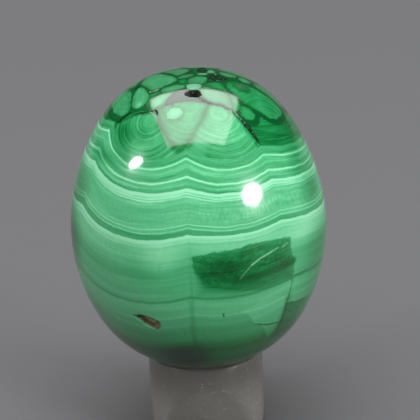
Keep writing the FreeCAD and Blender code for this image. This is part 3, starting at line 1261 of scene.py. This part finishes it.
    def _marks(self, graph: Graph, read: StoneReadings, tone: Socket) -> Socket:
        """Lay soft places with their painted shade, the torn and the broken part, veins and cracks over
        a tone.
        """
        tone = graph.add(tone, graph.field("tone_and_shade_shift"))
        ragged = graph.swing(graph.speckle(read.place, 0.9, 4.0, 0.6), 1.2)
        torn = graph.times(
            graph.rise(graph.add(graph.field("torn_inside"), ragged), -0.1, 0.15),
            graph.rise(read.height, -11.0, -7.6, 1.0, 0.3),
        )
        tone = graph.add(tone, graph.times(torn, 0.1))
        edge = graph.add(graph.field("shaded_inside"), graph.times(read.mottle, 0.9))
        broken = graph.times(
            graph.rise(edge, -0.05, 0.15),
            graph.rise(read.back, -12.5, -6.5, 1.0, 0.0),
            graph.rise(read.height, -18.5, -15.5, 0.0, 1.0),
        )
        facets = graph.add(graph.times(tone, 0.58), graph.times(read.streaks, 0.24))
        tone = graph.mixed(broken, tone, facets)
        tone = graph.mixed(graph.times(graph.field("vein"), 0.85), tone, 0.35)
        return graph.mixed(graph.times(graph.field("crack"), 0.75), tone, 0.26)

    def colour(self, graph: Graph, place: Socket, crevice: Socket, shade: Socket) -> Socket:
        """Colour the stone's tone, and lay milk, painted shade with crumbs in the open gaps, scratches
        and hollows over it.

        Args:
            graph: The material's graph.
            place: Place on the piece.
            crevice: Where the open crevices are, painted dark for the shade inside them.
            shade: Shade of the mineral's grains.

        Returns:
            The colour.
        """
        colour = graph.ramp(self.tone(graph, place), self.greens, 0.1, 1.0)
        colour = graph.tinted(graph.times(graph.field("greyness"), 0.5), colour, seen(150, 196, 176))
        # Painted shade: the open gaps are near-black green for the shade inside them, with paler crumbs
        # of fill
        deep = graph.rise(graph.field("gap_inside"), 0.08, 0.3)
        fill = graph.times(graph.rise(shade, 0.62, 0.78), deep)
        colour = graph.tinted(crevice, colour, graph.tinted(fill, seen(0, 42, 17), seen(20, 104, 50)))
        colour = graph.tinted(graph.times(graph.field("scratch"), 0.8), colour, seen(150, 225, 180))
        # Painted shade: deeper in the top vug the walls go near black for the shade inside it;
        # the front pit's walls take the brown of its floor
        top = graph.rise(graph.field("growth"), 0.0, 10.0)
        depths = graph.tinted(top, seen(96, 96, 66), seen(12, 18, 10))
        return graph.tinted(graph.field("hollow"), colour, depths)

    def material(self, effects: SharedEffects) -> bpy.types.Material:
        """Make the stone's material."""
        material, graph, shader = new_material("banded_stone")
        place = graph.place()
        grain = SharedEffects.use(graph, effects.mineral_grain, Place=place, Grains_per_mm=3.2)
        crevice = graph.rise(graph.field("gap_inside"), -0.06, 0.1)
        hollow = graph.field("hollow")
        marks = SharedEffects.use(graph, effects.handling, Place=place, Scratches=0.6)
        rough = graph.add(
            self.roughness,
            graph.times(marks.outputs["Smudge"], 0.03),
            graph.times(marks.outputs["Scratch"], 0.1),
            graph.times(crevice, 0.15),
            graph.times(hollow, 0.6),
        )
        facing = graph.node("LayerWeight")
        limb = graph.rise(facing.outputs["Facing"], 0.55, 0.97, 0.0, 0.7)
        dulled = graph.math("MAXIMUM", graph.math("MAXIMUM", crevice, hollow), limb)
        ripple = graph.bump(graph.speckle(place, 2.6, 3.0, 0.6), 0.004)
        graph.fill(
            shader,
            Base_Color=self.colour(graph, place, crevice, grain.outputs["Shade"]),
            Roughness=rough,
            IOR=1.8,
            Coat_Weight=graph.times(graph.math("SUBTRACT", 1.0, dulled, clamp=True), self.bloom),
            Coat_Roughness=self.bloom_roughness,
            Coat_IOR=1.5,
            Normal=graph.bump(graph.times(grain.outputs["Height"], hollow), 0.05, ripple),
        )
        return material


@dataclass(frozen=True)
class ClearTubeFinish:
    """Clear cast acrylic with a faint warm tint.

    Args:
        tint: Colour that the clear plastic takes on.
        roughness: Roughness of its polish.
        clearness: How much of the light goes through it.
    """

    tint: Colour = (1.0, 0.975, 0.915, 1.0)
    roughness: float = 0.2
    clearness: float = 0.92

    def material(self, effects: SharedEffects) -> bpy.types.Material:
        """Make the clear material."""
        material, graph, shader = new_material("clear_tube")
        place = graph.place()
        marks = SharedEffects.use(graph, effects.handling, Place=place, Scratches=1.0)
        rough = graph.add(
            self.roughness,
            graph.times(marks.outputs["Smudge"], 0.05),
            graph.times(marks.outputs["Scratch"], 0.08),
        )
        graph.fill(
            shader,
            Base_Color=self.tint,
            Roughness=rough,
            IOR=1.49,
            Transmission_Weight=self.clearness,
        )
        return material


@dataclass(frozen=True)
class CrustFinish:
    """Rough earthy crust of a darker mineral.

    Args:
        name: Name of the material.
        dark: Colour of its dark grains.
        light: Colour of its light grains.
        accent: Colour of a few grains.
    """

    name: str
    dark: Colour
    light: Colour
    accent: Colour

    def material(self, effects: SharedEffects) -> bpy.types.Material:
        """Make the crust's material."""
        material, graph, shader = new_material(self.name)
        place = graph.place()
        grain = SharedEffects.use(graph, effects.mineral_grain, Place=place, Grains_per_mm=6.0)
        shade = graph.rise(grain.outputs["Shade"], 0.3, 0.7)
        colour = graph.tinted(shade, self.dark, self.light)
        few = graph.rise(graph.speckle(place, 1.9, 3.0), 0.58, 0.66)
        colour = graph.tinted(graph.times(few, 0.7), colour, self.accent)
        graph.fill(
            shader,
            Base_Color=colour,
            Roughness=graph.mixed(shade, 0.85, 0.6),
            Normal=graph.bump(grain.outputs["Height"], 0.12),
        )
        return material


# Pieces


def added(name: str, data: bpy.types.ID) -> bpy.types.Object:
    """Add an object to the scene, at the origin."""
    made = bpy.data.objects.new(name, data)
    bpy.context.scene.collection.objects.link(made)
    return made


def mesh_object(
    name: str, shape: bmesh.types.BMesh, material: bpy.types.Material, smooth: bool = True
) -> bpy.types.Object:
    """Turn a mesh in metres into an object at the origin with one material."""
    for face in shape.faces:
        face.smooth = smooth
    mesh = bpy.data.meshes.new(name)
    shape.to_mesh(mesh)
    shape.free()
    mesh.materials.append(material)
    log.info("%s: %d faces", name, len(mesh.polygons))
    return added(name, mesh)


@dataclass
class StandRing:
    """The clear ring that the egg rests on.

    Args:
        outer_radius: Radius outside.
        wall: Thickness of the tube's wall.
        height: Height of the ring.
        seat_width: Breadth of the sloped seat.
        seat_drop: Height of the sloped seat.
        edge_round: Radius of the outer edges.
        inner_round: Radius of the lower inner edge.
        steps: Steps round the ring.
    """

    outer_radius: float = 10.0
    wall: float = 2.5
    height: float = 15.0
    seat_width: float = 0.8
    seat_drop: float = 0.26
    edge_round: float = 0.3
    inner_round: float = 0.06
    steps: int = 160

    def build(self, finish: ClearTubeFinish, effects: SharedEffects) -> bpy.types.Object:
        """Spin the ring's section round the axis and round its edges."""
        shape = bmesh.new()
        inner = self.outer_radius - self.wall
        corners = (
            (self.outer_radius, 0),
            (self.outer_radius, self.height),
            (inner + self.seat_width, self.height),
            (inner, self.height - self.seat_drop),
            (inner, 0),
        )
        verts = [shape.verts.new((radius * MM, 0, height * MM)) for radius, height in corners]
        edges = [shape.edges.new(pair) for pair in zip(verts, verts[1:] + verts[:1])]
        bmesh.ops.spin(
            shape,
            geom=verts + edges,
            axis=(0, 0, 1),
            cent=(0, 0, 0),
            steps=self.steps,
            angle=math.tau,
            use_merge=True,
        )
        bmesh.ops.remove_doubles(shape, verts=shape.verts, dist=1e-7)
        self._round(shape, self.outer_radius, self.edge_round, 5)
        self._round(shape, inner, self.inner_round, 2, at_height=0)
        bmesh.ops.recalc_face_normals(shape, faces=shape.faces)
        ring = mesh_object("clear_ring", shape, finish.material(effects))
        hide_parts("stand_ring")
        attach(ring, "stand")
        return ring

    def _round(
        self,
        shape: bmesh.types.BMesh,
        radius: float,
        size: float,
        segments: int,
        at_height: float | None = None,
    ) -> None:
        """Round the circular edges at a radius, at every height or at one."""
        chosen = [
            edge
            for edge in shape.edges
            if len(edge.link_faces) == 2
            and all(abs(math.hypot(vert.co.x, vert.co.y) - radius * MM) < 1e-6 for vert in edge.verts)
            and abs(edge.verts[0].co.z - edge.verts[1].co.z) < 1e-7
            and (at_height is None or abs(edge.verts[0].co.z - at_height * MM) < 1e-7)
            and edge.calc_face_angle(0) > 0.5
        ]
        bmesh.ops.bevel(
            shape,
            geom=chosen,
            offset=size * MM,
            segments=segments,
            affect="EDGES",
            profile=0.5,
            material=-1,
        )


@dataclass(frozen=True)
class SurfacePlace:
    """A place of the egg's surface, in the ways that its marks are laid out.

    Args:
        azimuth: Azimuth in degrees.
        height: Height above the egg's middle.
        reach: Distance from the top pole along the surface.
        on_cap: Place to the right and to the back of the pole.
        on_side: Place on the side, unrolled.
    """

    azimuth: float
    height: float
    reach: float
    on_cap: Pair
    on_side: Pair


@dataclass
class PolishedEgg:
    """The stone egg with its two hollows.

    Args:
        outline: Its outline.
        bands: Its growth bands.
        cap: Its nodules.
        marks: Its other marks.
        hollows: Its open pits.
        steps: Steps round the egg.
        wedges: Equal wedges that the egg is spun in.
    """

    outline: EggOutline
    bands: GrowthBands
    cap: NoduleCap
    marks: SurfaceMarks
    hollows: tuple[Hollow, ...]
    steps: int = 264
    wedges: int = 12

    def middle(self) -> Vector:
        """Middle of the egg's axis, in millimetres, where its solid is."""
        low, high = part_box("egg")
        return Vector((0, 0, (low.z + high.z) / 2 / MM))

    def prepare(self) -> None:
        """Work out what the readings of the surface need."""
        self.outline.trace()
        path = self.outline.path
        self._unit = self.outline.scale()
        self._heights = [-height for height, _, _ in path]
        self._top_reach = [(-height, reach) for height, _, reach in path]
        self._from_top, self._from_foot = (
            (way, [radius for _, radius, _ in way[: len(way) // 4]]) for way in (path, path[::-1])
        )
        self._flat_trails = [(kind, *self._flat(trail)) for kind, trail in self.marks.trails()]
        self._nodules, self._gaps = self.cap.prepared()
        self._sinks = [
            (hollow, hollow.place(self.outline, Vector()), hollow.rim()) for hollow in self.hollows
        ]
        areas = {
            "patch_inside": self.marks.patch,
            "torn_inside": self.marks.torn,
            "shaded_inside": self.marks.shaded,
        }
        self._flat_areas = []
        for name, area in areas.items():
            corners = tuple(self.marks.side_spot(*corner) for corner in area)
            self._flat_areas.append((name, corners, box_of(corners, AREA_MARGIN)))

    def _flat(self, trail: Trail) -> tuple[Trail, Box]:
        """A trail with its places in millimetres, and the box that it keeps to."""
        places = trail.places
        if not trail.on_cap:
            places = tuple(self.marks.side_spot(*place) for place in places)
        return replace(trail, places=places), box_of(places, 2 * trail.width + TRAIL_MARGIN)

    def blank(self) -> bmesh.types.BMesh:
        """Spin the outline into a whole egg, in millimetres from its middle."""
        shape = bmesh.new()
        rows = self.outline.row_points()
        verts = [shape.verts.new((0, -radius, height)) for height, radius, _ in rows]
        edges = [shape.edges.new(pair) for pair in zip(verts, verts[1:])]
        around = {"axis": (0, 0, 1), "cent": (0, 0, 0)}
        wedge = math.tau / self.wedges
        steps = self.steps // self.wedges
        bmesh.ops.spin(shape, geom=verts + edges, steps=steps, angle=wedge, **around)
        first = shape.verts[:] + shape.edges[:] + shape.faces[:]
        for count in range(1, self.wedges):
            copy = bmesh.ops.duplicate(shape, geom=first)["geom"]
            moved = [element for element in copy if isinstance(element, bmesh.types.BMVert)]
            turn = Matrix.Rotation(wedge * count, 3, "Z")
            bmesh.ops.rotate(shape, verts=moved, cent=(0, 0, 0), matrix=turn)
        bmesh.ops.remove_doubles(shape, verts=shape.verts, dist=1e-4)
        bmesh.ops.recalc_face_normals(shape, faces=shape.faces)
        return shape

    def refine(self, shape: bmesh.types.BMesh) -> None:
        """Make the mesh finer round the hollows and along the trails and gaps."""
        chosen = set()
        for face in shape.faces:
            spot = face.calc_center_median()
            if spot.y <= FINE_BEHIND and (self._near_hollow(spot) or self._near_mark(spot)):
                chosen.update(face.edges)
        cuts = bmesh.ops.subdivide_edges(shape, edges=list(chosen), cuts=2, use_grid_fill=True)
        for element in cuts["geom_inner"]:
            if isinstance(element, bmesh.types.BMVert):
                element.co = self.settled(element.co)
        odd = [face for face in shape.faces if len(face.verts) > 4]
        bmesh.ops.triangulate(shape, faces=odd)

    def _near_hollow(self, spot: Vector) -> bool:
        """Whether a place is in or close to a hollow."""
        return any(
            (spot - place.translation).length < FINE_HOLLOW_SHARE * max(hollow.width, hollow.length)
            for hollow, place, _ in self._sinks
        )

    def _near_mark(self, spot: Vector) -> bool:
        """Whether a place is on or close to a trail or a gap."""
        place = self.located(spot)
        for _, trail, (distance, _) in self._trails_at(place):
            if distance < trail.width + FINE_TRAIL:
                return True
        return place.reach < CAP_TRAILS_REACH and self._gap_inside(place.on_cap) > -FINE_GAP

    def located(self, spot: Vector) -> SurfacePlace:
        """Find a place of the surface in the ways that its marks are laid out."""
        azimuth = math.degrees(math.atan2(spot.x, -spot.y))
        reach = read_off(self.outline.path, self._heights, -spot.z)[2]
        turn = math.radians(azimuth)
        on_cap = (reach * math.sin(turn), -reach * math.cos(turn))
        return SurfacePlace(azimuth, spot.z, reach, on_cap, self.marks.side_spot(azimuth, spot.z))

    def _trails_at(self, place: SurfacePlace) -> Iterator[tuple[TrailKind, Trail, Pair]]:
        """Go through the trails round a place, each with its distance and strength there."""
        for kind, trail, box in self._flat_trails:
            here = place.on_cap if trail.on_cap else place.on_side
            if trail.on_cap == (place.reach < CAP_TRAILS_REACH) and within(here, box):
                yield kind, trail, trail.gap(here)

    def _gap_inside(self, spot: Pair) -> float:
        """Distance of a place of the cap inside an open gap, negative outside them all."""
        found = [inside_distance(spot, line) for line, box in self._gaps if within(spot, box)]
        return max(found, default=FAR_OUTSIDE)

    def settled(self, spot: Vector) -> Vector:
        """Put a place that is nearly on the surface exactly on it.

        Near the poles its height gives way, and elsewhere its distance from the axis.
        """
        radius = math.hypot(spot.x, spot.y)
        share = max(-1.0, min(1.0, 2 * spot.z / self.outline.height))
        if abs(share) < POLES_SHARE:
            true = self._unit * self.outline.fullness(share)
            return Vector((spot.x * true / radius, spot.y * true / radius, spot.z))
        path, radii = self._from_top if share > 0 else self._from_foot
        return Vector((spot.x, spot.y, read_off(path, radii, radius)[0]))

    def fields(self, spot: Vector) -> dict[str, float]:
        """Work out every field of the stone's finish at a place of the surface."""
        place = self.located(spot)
        growth = self.bands.level(place.azimuth, place.height, place.reach, self._top_reach)
        values = {
            "growth": growth,
            "tone_and_shade_shift": self._tone_shift(place),
            "hollow": 0.0,
            **self._nodule_fields(place, growth),
            **{kind.value: 0.0 for kind in TrailKind},
        }
        for kind, trail, (distance, strength) in self._trails_at(place):
            if distance < trail.width * 2:
                closeness = strength * min(1.0, 2 - distance / trail.width)
                values[kind.value] = max(values[kind.value], closeness)
        for name, corners, box in self._flat_areas:
            inside = within(place.on_side, box)
            values[name] = inside_distance(place.on_side, corners) if inside else FAR_OUTSIDE
        return values

    def _nodule_fields(self, place: SurfacePlace, growth: float) -> dict[str, float]:
        """Fields of the cap's nodules and gaps at a place."""
        if place.reach >= self.cap.reach or growth <= self.cap.lowest_level:
            return {
                "gap_inside": FAR_OUTSIDE,
                "ring_depth": FAR_OUTSIDE,
                "nodule_inside": FAR_OUTSIDE,
                "nodule_tone": 0.3,
                "ring_strength": 0.0,
                "outline_strength": 0.0,
                "greyness": 0.0,
            }
        warped = self.cap.warped(place.on_cap)
        ring_depth, inside, nodule = self.cap.read(warped, self._nodules)
        return {
            "gap_inside": self._gap_inside(warped),
            "ring_depth": ring_depth,
            "nodule_inside": inside,
            "nodule_tone": nodule.tone,
            "ring_strength": nodule.rings,
            "outline_strength": nodule.outline,
            "greyness": nodule.grey if inside > 0 else 0.0,
        }

    def _tone_shift(self, place: SurfacePlace) -> float:
        """Change of tone that the soft places add up to at a place, painted shade included."""
        shift = 0.0
        for blot in self.marks.blots:
            if blot.on_cap:
                if place.reach < CAP_BLOTS_REACH:
                    shift += blot.value(place.on_cap[0] - blot.across, place.on_cap[1] - blot.up)
            else:
                turned = (place.azimuth - blot.across + 180) % 360 - 180
                shift += blot.value(math.radians(turned) * self.marks.girth, place.height - blot.up)
        return shift

    def sink(self, spot: Vector, values: dict[str, float]) -> Vector:
        """Sink a place of the surface into a hollow or a crevice that it lies in."""
        for hollow, place, rim in self._sinks:
            away = place.inverted() @ spot
            if away.length > hollow.width:
                continue
            angle = math.atan2(away.y, away.x)
            share = math.hypot(away.x, away.y) / max(1e-6, hollow.rim_distance(angle, rim))
            share += 0.22 * noise.noise(spot * 1.7) + 0.12 * noise.noise(spot * 4.4)
            if share < 1:
                slope = hollow.depth / (1 - hollow.floor_share)
                drop = min(hollow.depth, (1 - share) * slope * WALL_STEEPNESS)
                ragged = 1 + 0.25 * noise.noise(spot * 2.1)
                values["hollow"] = min(1.0, drop / HOLLOW_COLOUR_DEPTH)
                outward = place.to_3x3() @ Vector((0, 0, 1))
                return spot - outward * (away.z + drop * ragged)
        entered = values["gap_inside"] + CREVICE_START
        if entered > 0:
            outward = Vector((spot.x, spot.y, spot.z * 0.8)).normalized()
            ragged = 0.7 + 0.6 * noise.noise(spot * 2.6)
            return spot - outward * (CREVICE_DEPTH * min(1.0, entered / CREVICE_SLOPE) * ragged)
        return spot

    def build(self, finish: BandedStoneFinish, effects: SharedEffects) -> bpy.types.Object:
        """Build the egg, write its fields and dress it."""
        self.prepare()
        shape = self.blank()
        self.refine(shape)
        middle = self.middle()
        table: dict[str, list[float]] = {}
        for vert in shape.verts:
            values = self.fields(vert.co)
            vert.co = (self.sink(vert.co, values) + middle) * MM
            for name, value in values.items():
                table.setdefault(name, []).append(value)
        egg = mesh_object("polished_egg", shape, finish.material(effects))
        for name, values in table.items():
            egg.data.attributes.new(name, "FLOAT", "POINT").data.foreach_set("value", values)
        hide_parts("egg")
        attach(egg, "egg")
        return egg


@dataclass
class PitCrust:
    """Lumpy crust on the floor of a hollow.

    Args:
        name: Name of the piece.
        node: Solid that it stands for.
        slot: Material slot of that solid; not used.
        hollow: The hollow that it lies in.
        lump: Height of its lumps.
    """

    name: str
    node: str
    slot: str
    hollow: Hollow
    lump: float = 0.12

    def build(self, egg: PolishedEgg, finish: CrustFinish, effects: SharedEffects) -> bpy.types.Object:
        """Press a fine ball into the hollow's outline and make it lumpy."""
        shape = bmesh.new()
        bmesh.ops.create_icosphere(shape, subdivisions=5, radius=1.0)
        place = self.hollow.place(egg.outline, egg.middle())
        rim = self.hollow.rim()
        thick = self.hollow.crust
        level = thick / 2 - self.hollow.depth
        reach = 1 + (1 - self.hollow.floor_share) * level / self.hollow.depth
        for vert in shape.verts:
            edge = self.hollow.rim_distance(math.atan2(vert.co.y, vert.co.x), rim)
            across = Vector((vert.co.x, vert.co.y)) * (edge * reach * CRUST_FIT)
            rise = math.copysign(abs(vert.co.z) ** 0.5, vert.co.z) * thick / 2
            spot = Vector((across.x, across.y, 3.0))
            if rise > 0:
                rise += self.lump * noise.noise(spot * 2.4) + 0.5 * self.lump * noise.noise(spot * 6.1)
                rise = min(rise, thick / 2)
            vert.co = place @ Vector((across.x, across.y, level + rise)) * MM
        bmesh.ops.recalc_face_normals(shape, faces=shape.faces)
        crust = mesh_object(self.name, shape, finish.material(effects))
        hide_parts(self.node)
        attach(crust, "egg")
        return crust


# Studio


@dataclass(frozen=True)
class Lamp:
    """One lamp, aimed at the egg.

    Args:
        name: Its name.
        azimuth: Direction from the egg in degrees, 0 at the front and 90 at the right.
        elevation: Direction above the level in degrees.
        distance: Distance from the egg in metres.
        width: Breadth in metres.
        depth: Length in metres.
        power: Power in watts.
        round: Whether it is a disc.
        shift: How far it is moved to the right and back, in metres.
        turn: How far it is turned about its own beam, in degrees.
    """

    name: str
    azimuth: float
    elevation: float
    distance: float
    width: float
    depth: float
    power: float
    round: bool = True
    shift: Pair = (0.0, 0.0)
    turn: float = 0.0

    def build(self, aim: Vector) -> None:
        """Add the lamp."""
        data = bpy.data.lights.new(self.name, "AREA")
        data.shape = "ELLIPSE" if self.round else "RECTANGLE"
        data.size = self.width
        data.size_y = self.depth
        data.energy = self.power
        lamp = added(self.name, data)
        side, up = math.radians(self.azimuth), math.radians(self.elevation)
        away = Vector((math.sin(side) * math.cos(up), -math.cos(side) * math.cos(up), math.sin(up)))
        lamp.location = aim + away * self.distance + Vector((*self.shift, 0))
        if self.elevation < 90:
            turned = Matrix.Rotation(math.radians(self.turn), 3, "Z")
            lamp.rotation_euler = (away.to_track_quat("Z", "Y").to_matrix() @ turned).to_euler()


@dataclass
class Studio:
    """Floor, lamps, surroundings and camera.

    Args:
        floor_colour: Colour of the floor.
        surround: Colour of the surroundings, as eye and gloss see them.
        shade: Colour of floor and surroundings as they light the object.
        glow: Colour of the soft light that comes from above the camera.
        dim: Colour of the room in front of the object, as gloss shows it.
        far: Colour of the floor far away, where little light reaches it.
        lamps: The lamps.
        distance: Distance of the camera from the egg's middle, in millimetres.
        elevation: Elevation of the camera in degrees.
        roll: How far the egg leans to the left in the picture, in degrees.
        lens: Focal length.
        aim_right: Place of the egg's middle in the frame, from its left, in pixels of 420.
        aim_down: Place of the egg's middle in the frame, from its top.
    """

    floor_colour: Colour = seen(106, 106, 108)
    surround: Colour = seen(108, 108, 109)
    shade: Colour = seen(56, 56, 57)
    glow: Colour = seen(196, 195, 192)
    dim: Colour = seen(44, 44, 45)
    far: Colour = seen(186, 186, 188)
    lamps: tuple[Lamp, ...] = (
        Lamp("softbox", 0, 90, 1.20, 1.48, 1.82, 24.0, False, (0.05, 0.11)),
        Lamp("right_lamp", 54, 15, 1.0, 0.32, 0.14, 5.2, turn=-6),
        Lamp("left_lamp", -72, 28, 1.0, 0.24, 0.08, 2.0, turn=34),
    )
    distance: float = 303.8
    elevation: float = 23.5
    roll: float = 3.0
    lens: float = 152.97
    aim_right: float = 198.2
    aim_down: float = 216.6

    def build(self, aim: Vector) -> None:
        """Build the whole studio round the egg's middle, in metres."""
        self._floor()
        self._world()
        for lamp in self.lamps:
            lamp.build(aim)
        self._camera(aim)

    def _floor(self) -> None:
        """A wide round floor that is not part of the object."""
        material, graph, shader = new_material("studio_floor")
        place = graph.place()
        cloudy = tuple(0.94 * part for part in self.floor_colour[:3]) + (1.0,)
        colour = graph.tinted(graph.speckle(place, 0.004, 2.0), self.floor_colour, cloudy)
        reach = graph.node("VectorMath", operation="LENGTH")
        graph.feed(reach.inputs[0], place)
        colour = graph.tinted(graph.rise(reach.outputs["Value"], 300.0, 2600.0), colour, self.far)
        in_front = graph.rise(graph.parts(place)[1], -75.0, -30.0, 1.0, 0.0)
        mirrored = graph.times(self._seen_by(graph, "Is Glossy Ray"), in_front)
        looking = self._seen_by(graph, "Is Camera Ray", "Is Glossy Ray", "Is Transmission Ray")
        colour = graph.tinted(looking, self.shade, colour)
        colour = graph.tinted(mirrored, colour, self.dim)
        graph.fill(shader, Base_Color=colour, Roughness=0.8, Specular_IOR_Level=0.2)
        shape = bmesh.new()
        bmesh.ops.create_circle(shape, cap_ends=True, segments=96, radius=4.0)
        mesh_object("studio_floor", shape, material, smooth=False)

    def _seen_by(self, graph: Graph, *kinds: str) -> Socket:
        """Whether a ray is of one of these kinds."""
        path = graph.node("LightPath")
        rays = [path.outputs[kind] for kind in kinds]
        return graph.math("MINIMUM", graph.add(*rays), 1.0) if len(rays) > 1 else rays[0]

    def _world(self) -> None:
        """Plain grey surroundings."""
        world = bpy.data.worlds.new("surroundings")
        world.use_nodes = True
        back = world.node_tree.nodes["Background"]
        graph = Graph(world.node_tree)
        front = graph.node("VectorMath", operation="DOT_PRODUCT")
        graph.feed(front.inputs[0], graph.node("TexCoord").outputs["Generated"])
        front.inputs[1].default_value = (-0.17, -0.75, 0.64)
        room = graph.tinted(graph.rise(front.outputs["Value"], 0.2, 0.95), self.shade, self.glow)
        facing = graph.rise(front.outputs["Value"], -0.96, -0.5)
        mirrored = graph.tinted(facing, self.surround, self.dim)
        room = graph.tinted(self._seen_by(graph, "Is Glossy Ray"), room, mirrored)
        eye = self._seen_by(graph, "Is Camera Ray", "Is Transmission Ray")
        graph.fill(back, Color=graph.tinted(eye, room, self.surround), Strength=1.0)
        bpy.context.scene.world = world

    def _camera(self, aim: Vector) -> None:
        """Place the camera at the viewing angle of the picture."""
        data = bpy.data.cameras.new("camera")
        data.lens = self.lens
        data.sensor_width = SENSOR_MM
        camera = added("camera", data)
        tilt = math.radians(self.elevation)
        camera.location = aim + Vector((0, -math.cos(tilt), math.sin(tilt))) * self.distance * MM
        scale = self.lens / SENSOR_MM * PICTURE_PIXELS
        half = PICTURE_PIXELS / 2
        turn = Matrix.Rotation(math.radians(90 - self.elevation), 4, "X")
        roll = Matrix.Rotation(-math.radians(self.roll), 4, "Z")
        pan = Matrix.Rotation(-math.atan((half - self.aim_right) / scale), 4, "Y")
        nod = Matrix.Rotation(-math.atan((half - self.aim_down) / scale), 4, "X")
        camera.rotation_euler = (turn @ roll @ pan @ nod).to_euler()
        bpy.context.scene.camera = camera


FRONT_PIT = Hollow(
    width=4.8,
    length=2.8,
    depth=1.2,
    crust=0.4,
    azimuth=-26.8,
    height_share=-0.397,
    floor_share=0.6,
    outline=(
        (-0.50, 0.30), (-0.18, 0.46), (0.22, 0.34), (0.50, 0.05), (0.42, -0.42), (0.12, -0.50),
        (-0.22, -0.12),
    ),
)
TOP_VUG = Hollow(
    width=2.7,
    length=2.0,
    depth=1.5,
    crust=0.45,
    azimuth=1.8,
    height_share=0.96,
    floor_share=0.55,
    outline=(
        (-0.50, -0.05), (-0.28, 0.42), (0.12, 0.50), (0.44, 0.20), (0.50, -0.36), (0.14, -0.48),
        (-0.30, -0.38),
    ),
)


def main() -> None:
    """Build the sub-assemblies in order and report each one."""
    logging.basicConfig(level=logging.INFO, format="%(message)s")
    bpy.context.scene.view_settings.view_transform = "Standard"
    effects = SharedEffects()
    egg = PolishedEgg(EggOutline(), GrowthBands(), NoduleCap(), SurfaceMarks(), (FRONT_PIT, TOP_VUG))
    egg.build(BandedStoneFinish(), effects)
    StandRing().build(ClearTubeFinish(), effects)
    brown = CrustFinish("brown_crust", seen(122, 112, 80), seen(178, 164, 124), seen(112, 128, 88))
    # Painted shade: the vug's lining is near black for the shade inside the vug
    black = CrustFinish("black_crust", seen(4, 8, 5), seen(22, 34, 24), seen(14, 48, 28))
    PitCrust("pit_floor_crust", "pit_crust", "brown_crust", FRONT_PIT).build(egg, brown, effects)
    PitCrust("vug_lining", "vug_crust", "black_crust", TOP_VUG).build(egg, black, effects)
    Studio().build(egg.middle() * MM)


if __name__ == "__main__":
    main()
